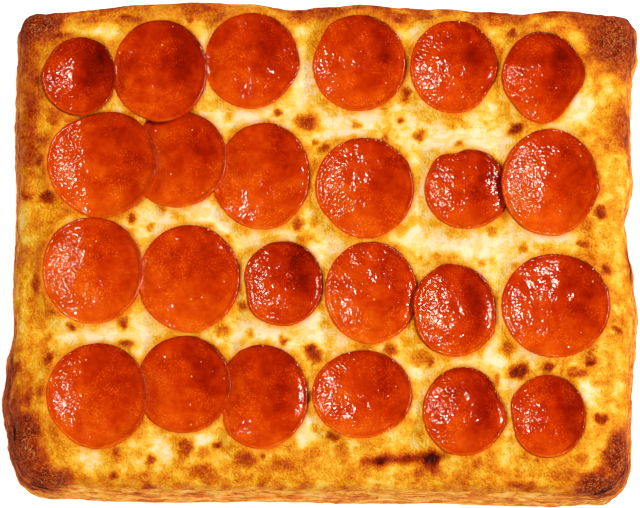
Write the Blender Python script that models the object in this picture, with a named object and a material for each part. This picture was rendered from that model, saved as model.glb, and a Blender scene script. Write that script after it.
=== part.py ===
"""Rectangular pan pizza with pepperoni, whole, as it leaves an 8 by 10 inch pan.

A bread crust with a raised rim holds a sheet of melted cheese, and cupped pepperoni slices lie on
the cheese in four rows, some of them leaning on their neighbours. The long side runs along X, the
front is towards -Y, and the origin is at the middle of the underside. Lengths are named in
millimetres and become metres where a mesh is made.
"""

import math
from collections import namedtuple

import bmesh
import bpy
import numpy as np

MM = 0.001

# The box that the crust just fills, seen from above, and the radius of each corner of its wall
LENGTH = 251.5
WIDTH = 200.5
HALF = np.array([LENGTH / 2, WIDTH / 2])
CORNER_RADIUS = {(-1, 1): 12.0, (1, 1): 15.0, (-1, -1): 20.5, (1, -1): 18.5}
INNER_RADIUS = 7.0

# Each side of the crust from front to back or from left to right: the place along the side, how
# far the wall falls short of the box there, and how far the wall stands out beyond its shoulder
LEFT = (
    (-92, 5.0, 5.5), (-80, 2.6, 6.2), (-62, 0.0, 6.8), (-48, 1.2, 5.4), (-32, 4.3, 3.0),
    (-15, 3.6, 3.0), (10, 4.2, 3.8), (60, 3.4, 3.9), (90, 3.9, 3.6),
)
RIGHT = (
    (-92, 6.0, 5.2), (-80, 5.2, 5.0), (-60, 4.4, 4.8), (-27, 1.9, 4.6), (-11, 2.9, 4.2),
    (0, 5.0, 3.2), (11, 6.4, 2.2), (20, 3.9, 3.2), (28, 2.6, 3.8), (42, 3.6, 4.0),
    (66, 2.7, 4.6), (74, 2.2, 4.8), (83, 0.0, 5.4), (92, 0.0, 5.4),
)
FRONT = (
    (-115, 3.2, 4.6), (-98, 2.8, 4.2), (-85, 2.0, 3.4), (-55, 1.6, 3.1), (-24, 1.9, 3.1),
    (15, 1.2, 3.2), (45, 1.2, 3.3), (62, 0.4, 3.2), (92, 0.0, 3.4), (115, 0.8, 4.4),
)
BACK = (
    (-115, 4.6, 2.4), (-103, 3.7, 2.2), (-88, 2.5, 2.0), (-72, 0.8, 2.0), (-48, 0.0, 2.0),
    (-30, 0.5, 2.0), (-13, 2.8, 2.0), (6, 1.7, 2.0), (15, 0.8, 2.0), (30, 2.1, 2.0),
    (46, 2.5, 2.0), (62, 3.7, 2.0), (77, 4.9, 2.0), (93, 3.3, 2.2), (118, 4.8, 3.0),
)
MEAN_BULGE = 4.0
WOBBLE_FULL = 9.0
WOBBLE_GONE = 26.0

# The crust's wall from the underside to the shoulder: share of the bulge still standing out, height
WALL = ((0.45, 0.0), (0.86, 1.8), (1.0, 6.5), (0.90, 13.0), (0.60, 19.0), (0.26, 23.4))
# Its lip, and its bed under the cheese, from the shoulder inwards: inset from the wall, height
LIP = ((4.8, 26.2), (6.8, 27.2), (8.3, 26.7))
BED = ((9.2, 25.2), (13.0, 22.6), (17.0, 20.0))

# The cheese: its level, its rise onto the rim and its low swells
CHEESE_LEVEL = 23.8
CHEESE_EDGE = 9.2
RIM_RISE = 3.5
RIM_FOOT = 27.0
RIM_CREST = 10.0
SWELLS = ((0.5, 0.105, 0.060, 0.4), (0.4, -0.075, 0.125, 2.1), (0.25, 0.190, -0.130, 4.0))
SEAM_GAP = 0.4

# Puffed corners: place, height and reach
PUFFS = ((118, 92, 2.4, 20), (-116, -90, 2.0, 22), (116, -90, 1.8, 22), (-116, 90, 1.2, 16))

# The furrow in the cheese behind the front rim: its two ends, depth and half width
FURROW = ((14.0, -86.6), (47.0, -84.6))
FURROW_DEPTH = 2.0
FURROW_HALF_WIDTH = 2.2

# Insets of the lattice lines from the cheese's edge, and the cells between the innermost of them
RIM_LINES = (0.0, 2.6, 5.4, 9.0, 13.0, 18.0)
CELLS_X = 26
CELLS_Y = 18

# Pepperoni
SLICE_THICKNESS = 1.8
SLICE_GAP = 0.35
STACK_GAP = 0.5
STACK_MARGIN = 1.6
CURL_POWER = 3.0
LEAN_POWER = 2.0
HELD_DOWN = (0.95, 1.45)
SLICE_SIDES = 22
SLICE_RINGS = (0.42, 0.78, 1.0)

# One slice: its middle, half its length along X and Y, how far its edge curls up, and the bumps of
# its outline as (direction in degrees, half width in degrees, share of the radius)
Slice = namedtuple("Slice", "name x y rx ry curl bumps")

# Slices from the lowest to the topmost, so that each leans only on slices before it
SLICES = (
    Slice("pepperoni_09", -24.2, 27.4, 19.5, 21.7, 2.2, ((131, 30, -0.06), (290, 16, 0.02))),
    Slice("pepperoni_08", -56.7, 33.9, 19.6, 19.9, 1.8, ()),
    Slice("pepperoni_03", -28.0, 73.3, 18.8, 19.2, 1.6, ((320, 25, -0.04), (355, 12, 0.02))),
    Slice("pepperoni_02", -64.0, 69.0, 18.9, 21.0, 1.6, ((250, 30, -0.02),)),
    Slice("pepperoni_07", -86.0, 31.9, 21.8, 21.5, 2.2, ((100, 25, -0.02),)),
    Slice("pepperoni_01", -95.4, 66.4, 14.7, 15.5, 4.0, ((145, 22, -0.07), (50, 14, 0.04))),
    Slice("pepperoni_04", 14.4, 72.1, 18.7, 19.2, 2.4, ((125, 14, 0.04), (150, 18, -0.04))),
    Slice("pepperoni_05", 51.4, 70.6, 17.4, 18.6, 2.6, ((325, 20, -0.07), (5, 14, 0.03))),
    Slice("pepperoni_06", 86.3, 66.2, 16.2, 18.2, 3.4, ((8, 16, 0.06), (318, 22, -0.15), (222, 25, -0.08))),
    Slice("pepperoni_10", 16.3, 22.4, 19.6, 20.4, 2.4, ((225, 22, -0.05),)),
    Slice("pepperoni_11", 56.3, 21.8, 16.8, 16.2, 3.2, ((108, 14, -0.08), (132, 12, 0.05))),
    Slice("pepperoni_12", 88.4, 24.4, 19.0, 21.8, 2.2, ((350, 14, 0.03), (130, 30, -0.02))),
    Slice("pepperoni_14", -52.0, -13.6, 20.2, 21.4, 1.4, ()),
    Slice("pepperoni_13", -89.4, -10.8, 19.8, 21.4, 2.8, ((180, 30, -0.02),)),
    Slice("pepperoni_15", -15.5, -15.8, 15.8, 17.0, 3.4, ((188, 20, -0.09), (228, 14, 0.04))),
    Slice("pepperoni_16", 18.8, -19.4, 18.4, 20.3, 1.6, ()),
    Slice("pepperoni_17", 50.9, -26.6, 16.6, 18.4, 3.2, ((100, 12, 0.04), (185, 22, -0.05), (330, 16, 0.04))),
    Slice("pepperoni_18", 90.3, -24.5, 21.2, 20.9, 1.2, ((182, 14, 0.02),)),
    Slice("pepperoni_21", -23.5, -60.7, 18.2, 21.0, 2.8, ((203, 16, -0.10), (300, 30, -0.03))),
    Slice("pepperoni_20", -53.7, -55.6, 18.5, 19.4, 2.0, ()),
    Slice("pepperoni_19", -87.0, -60.3, 19.8, 21.0, 3.0, ((222, 26, -0.04),)),
    Slice("pepperoni_22", 15.1, -59.5, 19.6, 17.5, 2.8, ((300, 24, -0.03),)),
    Slice("pepperoni_23", 54.5, -66.4, 16.1, 17.7, 3.4, ((345, 14, 0.05), (30, 22, -0.08))),
    Slice("pepperoni_24", 86.6, -68.3, 14.7, 16.5, 3.6, ((190, 22, -0.08), (150, 14, 0.04))),
)

# Materials: base colour, roughness
CRUST_LOOK = ((0.56, 0.24, 0.05), 0.6)
CHEESE_LOOK = ((0.86, 0.62, 0.20), 0.45)
PEPPERONI_LOOK = ((0.58, 0.08, 0.01), 0.35)


def smooth_step(share):
    """0 below 0, 1 above 1, and an even S between."""
    share = np.clip(share, 0.0, 1.0)
    return share * share * (3.0 - 2.0 * share)


def along(knots, place, column):
    """A side's value at each place: an even S from each of its knots to the next."""
    places = np.array([knot[0] for knot in knots], float)
    values = np.array([knot[column] for knot in knots], float)
    after = np.clip(np.searchsorted(places, place), 1, len(places) - 1)
    share = smooth_step((place - places[after - 1]) / (places[after] - places[after - 1]))
    return values[after - 1] + (values[after] - values[after - 1]) * share


def corner_radii(points):
    """The wall's corner radius in each point's quarter of the crust."""
    right, back = points[..., 0] > 0, points[..., 1] > 0
    upper = np.where(right, CORNER_RADIUS[1, 1], CORNER_RADIUS[-1, 1])
    lower = np.where(right, CORNER_RADIUS[1, -1], CORNER_RADIUS[-1, -1])
    return np.where(back, upper, lower)


def rounded(points, outer, inset=0.0):
    """Points of a rectangle set in by outer from the box, moved onto rounded corners.

    A point past the straight stretches keeps its reach from the corner's middle, and is turned
    onto an arc there. It can be set in further by inset, where tight corners keep INNER_RADIUS.
    """
    radius = corner_radii(points)[..., None]
    start = np.maximum(radius - outer, INNER_RADIUS)
    end = np.maximum(radius - outer - inset, INNER_RADIUS)
    core = HALF - outer - start
    middle = np.clip(points, -core, core)
    past = points - middle
    reach = np.abs(past).max(axis=-1, keepdims=True)
    length = np.maximum(np.linalg.norm(past, axis=-1, keepdims=True), 1e-9)
    moved_core = (HALF - outer - inset - end) / core
    return np.where(reach > 0, middle * moved_core + past / length * (reach - start + end), middle)


def depth_inside(points):
    """How far each point lies inside the wall's plain rounded rectangle."""
    radius = corner_radii(points)
    past = np.abs(points) - (HALF - radius[..., None])
    outside = np.linalg.norm(np.maximum(past, 0.0), axis=-1)
    return radius - outside - np.minimum(past.max(axis=-1), 0.0)


def wobbled(points, bulge_share=1.0):
    """Points of the plain rectangle moved onto the uneven one.

    Each side is set in by its own shortfall. bulge_share is 0 where the wall stands out most and
    1 from its shoulder inwards, where the side's own bulge counts too. All of it fades inwards.
    """
    x, y = points[..., 0], points[..., 1]
    moved = np.array(points, float)
    for axis, low, high, place in ((0, LEFT, RIGHT, y), (1, FRONT, BACK, x)):
        across = points[..., axis]
        from_side = HALF[axis] - np.abs(across)
        weight = smooth_step((WOBBLE_GONE - from_side) / (WOBBLE_GONE - WOBBLE_FULL))
        for side, knots in ((-1, low), (1, high)):
            bulge = along(knots, place, 2) - MEAN_BULGE
            shift = (along(knots, place, 1) + bulge_share * bulge) * weight
            moved[..., axis] -= np.where(np.sign(across) == side, side * shift, 0.0)
    return moved


def plain(points):
    """The plain rectangle's points that wobbled() moves to these."""
    found = np.array(points, float)
    for _ in range(3):
        found = points - (wobbled(found) - found)
    return found


def puff(points):
    """How far the puffed corners lift the rim: a soft round hill at each."""
    lift = np.zeros(points.shape[:-1])
    for x, y, height, reach in PUFFS:
        away = np.hypot(points[..., 0] - x, points[..., 1] - y)
        lift += height * np.exp(-((away / reach) ** 2))
    return lift


def furrow(points):
    """The furrow's depth: full on its line, gone at its half width and past its ends."""
    (x0, y0), (x1, y1) = FURROW
    share = (points[..., 0] - x0) / (x1 - x0)
    across = (points[..., 1] - y0 - share * (y1 - y0)) / FURROW_HALF_WIDTH
    ends = smooth_step(share * 5.0 + 0.5) * smooth_step((1.0 - share) * 5.0 + 0.5)
    return FURROW_DEPTH * ends * np.exp(-across * across)


def cheese_height(points, furrowed=True):
    """The cheese's upper side over the plain rectangle: its level, its swells and its rim."""
    x, y = points[..., 0], points[..., 1]
    rim = smooth_step((RIM_FOOT - depth_inside(points)) / (RIM_FOOT - RIM_CREST))
    height = CHEESE_LEVEL + (RIM_RISE + puff(points)) * rim
    for size, across, up, start in SWELLS:
        height = height + size * np.sin(across * x + up * y + start)
    return height - furrow(points) if furrowed else height


def bed_height(points, inset, height):
    """A bed point's height, lifted under a puffed corner but level at the floor."""
    floor_inset, floor = BED[-1]
    return height + puff(points) * smooth_step((floor_inset - inset) / (floor_inset - CHEESE_EDGE))


def lattice_lines(half, cells):
    """Lines across the cheese, close together at the rim and even between."""
    edge = half - CHEESE_EDGE - np.array(RIM_LINES)
    between = np.linspace(-edge[-1], edge[-1], cells + 1)[1:-1]
    return np.concatenate([-edge, between, edge[::-1]])


def lattice():
    """The crossings of the lattice lines, on rounded corners, as rows of plain points."""
    across, up = lattice_lines(HALF[0], CELLS_X), lattice_lines(HALF[1], CELLS_Y)
    points = np.stack(np.meshgrid(across, up), axis=-1)
    return points, rounded(points, CHEESE_EDGE)


def border(grid):
    """The outer points of a grid, once round from its first corner, counterclockwise."""
    return np.concatenate([grid[0, :-1], grid[:-1, -1], grid[-1, :0:-1], grid[:0:-1, 0]])


def border_loop(inset):
    """The lattice's border carried out or in to an inset from the wall."""
    square = border(lattice()[0])
    grown = square * (HALF - inset) / (HALF - CHEESE_EDGE)
    if inset <= CHEESE_EDGE:
        return rounded(grown, inset)
    return rounded(square, CHEESE_EDGE, inset - CHEESE_EDGE)


def with_height(plan, height):
    """Points in space from plan points and heights."""
    height = np.broadcast_to(height, plan.shape[:-1])
    return np.concatenate([plan, height[..., None]], axis=-1)


def crust_loops():
    """The crust's loops from its underside, up the wall, over the lip and down to its floor."""
    loops = []
    for share_out, height in WALL:
        plan = border_loop(MEAN_BULGE * (1.0 - share_out))
        lifted = height * (1.0 + puff(plan) / CHEESE_LEVEL)
        loops.append(with_height(wobbled(plan, 1.0 - share_out), lifted))
    for inset, height in LIP:
        plan = border_loop(inset)
        loops.append(with_height(wobbled(plan), height + puff(plan)))
    for inset, height in BED:
        plan = border_loop(inset)
        loops.append(with_height(wobbled(plan), bed_height(plan, inset, height)))
    return loops


def new_object(name, look, bm):
    """An object of this mesh, in metres, shaded smooth, with its material."""
    bmesh.ops.scale(bm, vec=(MM, MM, MM), verts=bm.verts)
    mesh = bpy.data.meshes.new(name)
    bm.to_mesh(mesh)
    bm.free()
    mesh.shade_smooth()
    mesh.materials.append(look)
    obj = bpy.data.objects.new(name, mesh)
    bpy.context.scene.collection.objects.link(obj)
    return obj


def new_material(name, look):
    """A plain Principled material with this colour and roughness."""
    colour, roughness = look
    material = bpy.data.materials.new(name)
    material.use_nodes = True
    shader = material.node_tree.nodes["Principled BSDF"]
    shader.inputs["Base Color"].default_value = (*colour, 1.0)
    shader.inputs["Roughness"].default_value = roughness
    shader.inputs["Metallic"].default_value = 0.0
    material.diffuse_color = (*colour, 1.0)
    return material


def add_loop(bm, points):
    """New vertices at these points."""
    return [bm.verts.new(point) for point in points]


def join_loops(bm, lower, upper):
    """Quads between two loops that both run counterclockwise, seen from above."""
    count = len(lower)
    for i in range(count):
        j = (i + 1) % count
        bm.faces.new((lower[i], lower[j], upper[j], upper[i]))


def build_crust(material):
    """The bread: a skin over its loops, closed by the flat underside and the flat floor."""
    bm = bmesh.new()
    loops = [add_loop(bm, points) for points in crust_loops()]
    bm.faces.new(reversed(loops[0]))
    for lower, upper in zip(loops, loops[1:]):
        join_loops(bm, lower, upper)
    bm.faces.new(loops[-1])
    return new_object("crust", material, bm)


def build_cheese(material):
    """The cheese: the lattice on top, and under it loops that follow the crust's bed."""
    plan = lattice()[1]
    top = with_height(wobbled(plan), cheese_height(plan))
    bm = bmesh.new()
    rows = [add_loop(bm, row) for row in top]
    for low, high in zip(rows, rows[1:]):
        for i in range(len(low) - 1):
            bm.faces.new((low[i], low[i + 1], high[i + 1], high[i]))
    upper = list(border(np.array(rows, dtype=object)))
    for inset, height in BED:
        under = border_loop(inset)
        lifted = bed_height(under, inset, height) + SEAM_GAP
        lower = add_loop(bm, with_height(wobbled(under), lifted))
        join_loops(bm, lower, upper)
        upper = lower
    bm.faces.new(reversed(upper))
    return new_object("cheese", material, bm)


def outline_radius(piece, angle):
    """A slice's radius in each direction: an ellipse with bell-shaped bumps and dents."""
    radius = 1.0 / np.hypot(np.cos(angle) / piece.rx, np.sin(angle) / piece.ry)
    share = np.ones_like(radius)
    for direction, half_width, size in piece.bumps:
        turn = np.degrees(angle) - direction
        turn = (turn + 180.0) % 360.0 - 180.0
        share += size * np.exp(-((turn / half_width) ** 2))
    return radius * share


def share_out(piece, points):
    """How far out on a slice each point lies: 0 at its middle, 1 on its edge."""
    x, y = points[..., 0] - piece.x, points[..., 1] - piece.y
    return np.hypot(x, y) / outline_radius(piece, np.arctan2(y, x))


def slice_points(piece, shares, sides):
    """Plan points on a slice, a ring for each share of its radius."""
    angle = np.arange(sides) * 2.0 * math.pi / sides
    radius = np.multiply.outer(np.array(shares), outline_radius(piece, angle))
    plan = np.stack([radius * np.cos(angle), radius * np.sin(angle)], axis=-1)
    return plan + np.array([piece.x, piece.y])


def curl_height(piece, points):
    """How far a slice curls up at each point: not at all where a later slice holds it down."""
    height = piece.curl * share_out(piece, points) ** CURL_POWER
    for other in SLICES[SLICES.index(piece) + 1:]:
        held_to, free_from = HELD_DOWN
        height = height * smooth_step((share_out(other, points) - held_to) / (free_from - held_to))
    return height


def lean_share(piece, towards, points):
    """How much a lean lifts each point: nothing at the far edge, all of it at the near one."""
    along_lean = (points[..., 0] - piece.x) * towards[0] + (points[..., 1] - piece.y) * towards[1]
    near = np.clip(0.5 + 0.5 * along_lean / max(piece.rx, piece.ry), 0.0, 1.2)
    return near**LEAN_POWER


def underside(piece, leans, points):
    """A slice's lower face: on the cheese, curled up at its edge, and lifted where it leans."""
    height = cheese_height(plain(points), furrowed=False) + SLICE_GAP
    height = height + curl_height(piece, points)
    for towards, lift in leans:
        height = height + lift * lean_share(piece, towards, points)
    return height


def settle(piece, lower):
    """The leans that lift a slice clear of the slices under it, given with their own leans."""
    leans = []
    for other, other_leans in lower:
        gap = np.array([other.x - piece.x, other.y - piece.y])
        apart = np.linalg.norm(gap)
        if apart > piece.rx + piece.ry + other.rx + other.ry:
            continue
        points = slice_points(piece, np.linspace(0.3, 1.0, 15), 6 * SLICE_SIDES)
        points = points[share_out(other, points) < 1.0 + STACK_MARGIN / other.rx]
        if not len(points):
            continue
        needed = underside(other, other_leans, points) + SLICE_THICKNESS + STACK_GAP
        short = needed - underside(piece, leans, points)
        towards = gap / apart
        leans.append((towards, max(0.0, (short / lean_share(piece, towards, points)).max())))
    return leans


def build_slice(piece, leans, material):
    """A slice as a sheet of rings round its middle, thickened upwards."""
    rings = slice_points(piece, SLICE_RINGS, SLICE_SIDES)
    middle = np.array([[piece.x, piece.y]])
    bm = bmesh.new()
    faces = {}
    for level in (0.0, SLICE_THICKNESS):
        centre = with_height(middle, underside(piece, leans, middle) + level)
        faces[level] = (
            add_loop(bm, centre)[0],
            [add_loop(bm, with_height(ring, underside(piece, leans, ring) + level)) for ring in rings],
        )
    for level, (centre, loops) in faces.items():
        turned = -1 if level == 0.0 else 1
        for i in range(SLICE_SIDES):
            j = (i + 1) % SLICE_SIDES
            bm.faces.new((centre, loops[0][i], loops[0][j])[::turned])
            for inner, outer in zip(loops, loops[1:]):
                bm.faces.new((inner[i], outer[i], outer[j], inner[j])[::turned])
    join_loops(bm, faces[0.0][1][-1], faces[SLICE_THICKNESS][1][-1])
    return new_object(piece.name, material, bm)


def main():
    for obj in list(bpy.data.objects):
        bpy.data.objects.remove(obj)
    build_crust(new_material("crust", CRUST_LOOK))
    build_cheese(new_material("cheese", CHEESE_LOOK))
    meat = new_material("pepperoni", PEPPERONI_LOOK)
    settled = []
    for piece in SLICES:
        leans = settle(piece, settled)
        build_slice(piece, leans, meat)
        settled.append((piece, leans))


main()
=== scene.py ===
"""The looks of a whole rectangular pan pizza with pepperoni.

The bread, the cheese and the slices are made again as fine surfaces over the same plan as the
solids, with the relief, the browning and the oil that an oven gives them. The long side runs along
X and the front is towards -Y. Lengths are named in millimetres.
"""

import math
from collections import namedtuple

import bpy
import numpy as np
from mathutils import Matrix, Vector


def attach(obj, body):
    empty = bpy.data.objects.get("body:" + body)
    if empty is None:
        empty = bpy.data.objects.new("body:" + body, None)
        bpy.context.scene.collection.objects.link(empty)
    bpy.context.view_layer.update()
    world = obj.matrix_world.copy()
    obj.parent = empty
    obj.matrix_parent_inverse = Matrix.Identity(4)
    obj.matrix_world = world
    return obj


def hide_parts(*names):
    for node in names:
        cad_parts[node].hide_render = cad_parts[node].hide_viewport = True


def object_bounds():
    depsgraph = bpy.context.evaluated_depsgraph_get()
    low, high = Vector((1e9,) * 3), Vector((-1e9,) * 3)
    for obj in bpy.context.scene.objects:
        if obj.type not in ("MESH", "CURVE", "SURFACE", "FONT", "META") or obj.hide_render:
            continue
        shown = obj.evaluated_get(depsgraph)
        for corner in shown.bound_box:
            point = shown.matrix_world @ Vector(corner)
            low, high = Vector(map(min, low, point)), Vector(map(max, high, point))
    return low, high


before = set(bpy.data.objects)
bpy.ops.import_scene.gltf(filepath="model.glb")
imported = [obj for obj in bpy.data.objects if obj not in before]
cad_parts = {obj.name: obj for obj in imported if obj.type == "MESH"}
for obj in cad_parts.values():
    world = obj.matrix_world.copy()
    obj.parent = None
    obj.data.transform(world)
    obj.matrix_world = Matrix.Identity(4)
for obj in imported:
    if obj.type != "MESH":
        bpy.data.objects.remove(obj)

CAD_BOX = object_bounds()
MM = 0.001

# The photograph's view: its size, the point looked at, the tilt from straight above, the distance
# and how large a millimetre shows there
PHOTO_WIDTH = 640
LOOK_AT = np.array([-1.1, -1.4, 15.0])
VIEW_TILT = math.radians(12.0)
VIEW_DISTANCE = 1500.0
PIXELS_PER_MM = 2.55
SENSOR_WIDTH = 36.0

# The table's reach in metres, its white and how much it glows. The lamps, as (name, place in metres,
# size, power, colour, whether shiny things mirror it), and the light from all round
TABLE_REACH = 6.0
TABLE_WHITE = 0.9
TABLE_GLOW = 0.8
WARM = (1.0, 0.86, 0.70)
LAMPS = (
    ("key light", (0.86, 0.30, 1.30), 0.34, 21.5, (1.0, 0.97, 0.92), True),
    ("left fill", (-1.3, -0.2, 0.9), 1.2, 8.0, WARM, False),
    ("front fill", (0.1, -1.4, 1.0), 1.2, 8.0, WARM, False),
    ("back fill", (0.2, 1.5, 1.0), 1.2, 4.0, WARM, False),
)
ROOM_LIGHT = 0.10

# The crust's box and corners, and its sides: the place along each, how far the wall falls short of
# the box there, and how far it stands out beyond its shoulder
HALF = np.array([125.75, 100.25])
CORNER_RADIUS = {(-1, 1): 9.5, (1, 1): 9.0, (-1, -1): 13.5, (1, -1): 14.0}
INNER_RADIUS = 7.0
LEFT = (
    (-92, 5.0, 5.5), (-80, 2.6, 6.2), (-62, 0.0, 6.8), (-48, 1.2, 5.4), (-32, 4.3, 3.0),
    (-15, 3.6, 3.0), (10, 4.2, 3.8), (60, 3.4, 3.9), (90, 3.9, 3.6),
)
RIGHT = (
    (-92, 6.0, 5.2), (-80, 5.2, 5.0), (-60, 4.4, 4.8), (-27, 1.9, 4.6), (-11, 2.9, 4.2),
    (0, 5.0, 3.2), (11, 6.4, 2.2), (20, 3.9, 3.2), (28, 2.6, 3.8), (42, 3.6, 4.0),
    (66, 2.7, 4.6), (74, 2.2, 4.8), (83, 0.0, 5.4), (92, 0.0, 5.4),
)
FRONT = (
    (-115, 3.2, 4.6), (-98, 2.8, 4.2), (-85, 2.0, 3.4), (-55, 1.6, 3.1), (-24, 1.9, 3.1),
    (15, 1.2, 3.2), (45, 1.2, 3.3), (62, 0.4, 3.2), (92, 0.0, 3.4), (115, 0.8, 4.4),
)
BACK = (
    (-115, 4.6, 2.4), (-103, 3.7, 2.2), (-88, 2.5, 2.0), (-72, 0.8, 2.0), (-48, 0.0, 2.0),
    (-30, 0.5, 2.0), (-13, 2.8, 2.0), (6, 1.7, 2.0), (15, 0.8, 2.0), (30, 2.1, 2.0),
    (46, 2.5, 2.0), (62, 3.7, 2.0), (77, 4.9, 2.0), (93, 3.3, 2.2), (118, 4.8, 3.0),
)
MEAN_BULGE = 4.0
WOBBLE_FULL = 18.0
WOBBLE_GONE = 42.0

# The crust's section from the wall's foot over the rim to the bed: inset from the box, share of the
# side's own bulge that is left off, height. Then the insets of the rings under it, how many rings
# the section has, the height where its cheese starts and how far along it the corners are eased
SECTION = (
    (3.6, 0.90, 0.0), (2.2, 0.55, 0.1), (0.56, 0.14, 1.8), (0.0, 0.0, 6.5), (0.4, 0.10, 13.0),
    (1.6, 0.40, 19.0), (2.96, 0.74, 23.4), (4.8, 1.0, 26.2), (6.4, 1.0, 27.3), (11.6, 1.0, 27.3),
    (12.4, 1.0, 26.2), (14.0, 1.0, 23.4), (17.0, 1.0, 20.0),
)
UNDERSIDE_INSETS = (62.0, 52.0, 43.0, 35.0, 28.0, 22.5, 18.0, 14.5, 12.0, 10.0, 8.4, 7.0, 5.8, 4.8, 4.2)
SECTION_STEPS = 58
CHEESED_FROM = 22.0
ROUNDING = 1.1

# The cheese: its level, where it starts inside the box, how far it climbs to the rim, where that
# climb has its foot, how far the foot wanders, where its crest is, where the crust under it ends,
# and the lip against a slice.
# SWELLS are waves as (height, turns along X and Y, start), CHEESE_UNDER the rings under it as (inset,
# height), CHEESE_THIN how its edge thins, as (distance from the edge, height)
CHEESE_LEVEL = 23.8
CHEESE_EDGE = 8.4
RIM_RISE = 3.5
RIM_FOOT = 32.0
RIM_WANDER = 8.0
RIM_CREST = 10.0
RIM_END = 17.0
CHEESE_LIP = 1.4
SWELLS = ((0.5, 0.105, 0.060, 0.4), (0.4, -0.075, 0.125, 2.1), (0.25, 0.190, -0.130, 4.0))
CHEESE_UNDER = ((9.4, 25.6), (13.2, 25.0), (14.6, 23.4), (17.2, 20.5))
CHEESE_THIN = ((0.0, -0.9), (0.8, -0.2), (1.6, -0.06), (2.4, 0.01), (6.0, 0.06))
PUFFS = ((118, 92, 2.4, 20), (-116, -90, 2.0, 22), (116, -90, 1.8, 22), (-116, 90, 1.2, 16))
FURROW = ((14.0, -86.6), (47.0, -84.6))
FURROW_DEPTH = 2.0
FURROW_HALF_WIDTH = 2.2

# How finely the surfaces are worked out, and how far they keep inside the solids' box
CELLS_X = 312
CELLS_Y = 248
SLICE_SIDES = 190
SLICE_RINGS = 46
BOX_MARGIN = 0.05

# Pepperoni: a slice's thickness, its gap to the cheese, how far its edge is rounded, the share its
# outline leaves for its wander, its gap to a slice under it and how far round that the gap is
# kept. The lip along its edge and the groove inside that lie at a share of the radius. HELD_DOWN
# is where a slice on top starts and ends to hold the curl down, as shares of its radius
SLICE_THICKNESS = 1.8
SLICE_GAP = 0.35
SLICE_ROUNDING = 0.45
OUTLINE_MARGIN = 0.012
STACK_GAP = 0.5
STACK_MARGIN = 1.6
LIP_AT = 0.96
LIP_HEIGHT = 0.42
LIP_WIDTH = 0.03
GROOVE_AT = 0.885
GROOVE_DEPTH = 0.14
CURL_POWER = 3.0
LEAN_POWER = 2.0
HELD_DOWN = (0.95, 1.45)

# One slice: its middle, half its length along X and Y, how far its edge curls up, the bumps of its
# outline as (direction in degrees, half width in degrees, share of the radius), how dark it is and
# how much oil stands on it
Slice = namedtuple("Slice", "number x y rx ry curl bumps dark oil")

# Slices from the lowest to the topmost, so that each leans only on slices before it
SLICES = (
    Slice(9, -24.2, 27.4, 19.5, 21.7, 2.2, ((131, 30, -0.06), (290, 16, 0.02)), 0.35, 0.7),
    Slice(8, -56.7, 33.9, 19.6, 19.9, 1.8, (), 0.45, 0.4),
    Slice(3, -28.0, 73.3, 18.8, 19.2, 1.6, ((320, 25, -0.04), (355, 12, 0.02)), 0.55, 0.2),
    Slice(2, -64.0, 69.0, 18.9, 21.0, 1.6, ((250, 30, -0.02),), 0.65, 0.1),
    Slice(7, -86.0, 31.9, 21.8, 21.5, 2.2, ((100, 25, -0.02),), 0.40, 0.9),
    Slice(1, -95.4, 66.4, 14.7, 15.5, 4.0, ((145, 22, -0.07), (50, 14, 0.04)), 0.85, 1.0),
    Slice(4, 14.4, 72.1, 18.7, 19.2, 2.4, ((125, 14, 0.04), (150, 18, -0.04)), 0.45, 0.7),
    Slice(5, 51.4, 70.6, 17.4, 18.6, 2.6, ((325, 20, -0.07), (5, 14, 0.03)), 0.55, 0.8),
    Slice(6, 86.3, 66.2, 16.2, 18.2, 3.4, ((8, 16, 0.05), (318, 27, -0.13), (222, 25, -0.08)), 0.7, 1.0),
    Slice(10, 16.3, 22.4, 19.6, 20.4, 2.4, ((225, 22, -0.05),), 0.40, 1.0),
    Slice(11, 56.3, 21.8, 16.8, 16.2, 3.2, ((108, 14, -0.08), (132, 12, 0.05)), 0.60, 0.9),
    Slice(12, 88.4, 24.4, 19.0, 21.8, 2.2, ((350, 14, 0.03), (130, 30, -0.02)), 0.35, 1.0),
    Slice(14, -52.0, -13.6, 20.2, 21.4, 1.4, (), 0.35, 0.5),
    Slice(13, -89.4, -10.8, 19.8, 21.4, 2.8, ((180, 30, -0.02),), 0.20, 1.0),
    Slice(15, -15.5, -15.8, 15.8, 17.0, 3.4, ((188, 20, -0.09), (228, 14, 0.04)), 0.75, 0.8),
    Slice(16, 18.8, -19.4, 18.4, 20.3, 1.6, (), 0.35, 0.8),
    Slice(17, 50.9, -26.6, 16.6, 18.4, 3.2, ((100, 12, 0.04), (185, 22, -0.05), (330, 16, 0.04)), 0.55, 0.9),
    Slice(18, 90.3, -24.5, 21.2, 20.9, 1.2, ((182, 14, 0.02),), 0.50, 0.6),
    Slice(21, -23.5, -60.7, 18.2, 21.0, 2.8, ((203, 16, -0.10), (300, 30, -0.03)), 0.50, 0.8),
    Slice(20, -53.7, -55.6, 18.5, 19.4, 2.0, (), 0.50, 0.4),
    Slice(19, -87.0, -60.3, 19.8, 21.0, 3.0, ((222, 26, -0.04),), 0.35, 1.0),
    Slice(22, 15.1, -59.5, 19.6, 17.5, 2.8, ((300, 24, -0.03),), 0.40, 0.8),
    Slice(23, 54.5, -66.4, 16.1, 17.7, 3.4, ((345, 14, 0.05), (30, 22, -0.08)), 0.60, 0.9),
    Slice(24, 86.6, -68.3, 14.7, 16.5, 3.6, ((190, 22, -0.08), (150, 14, 0.04)), 0.60, 0.9),
)

# Noise in the cheese, as (size, height, seed): patches of browning, broad swells and finer lumps
BROWN_PATCHES = ((11.0, 0.17, 3), (4.8, 0.17, 4))
BROAD_SWELLS = ((12.0, 0.35, 11),)
BAKED_LUMPS = ((4.4, 0.38, 12), (2.1, 0.30, 13))

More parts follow.
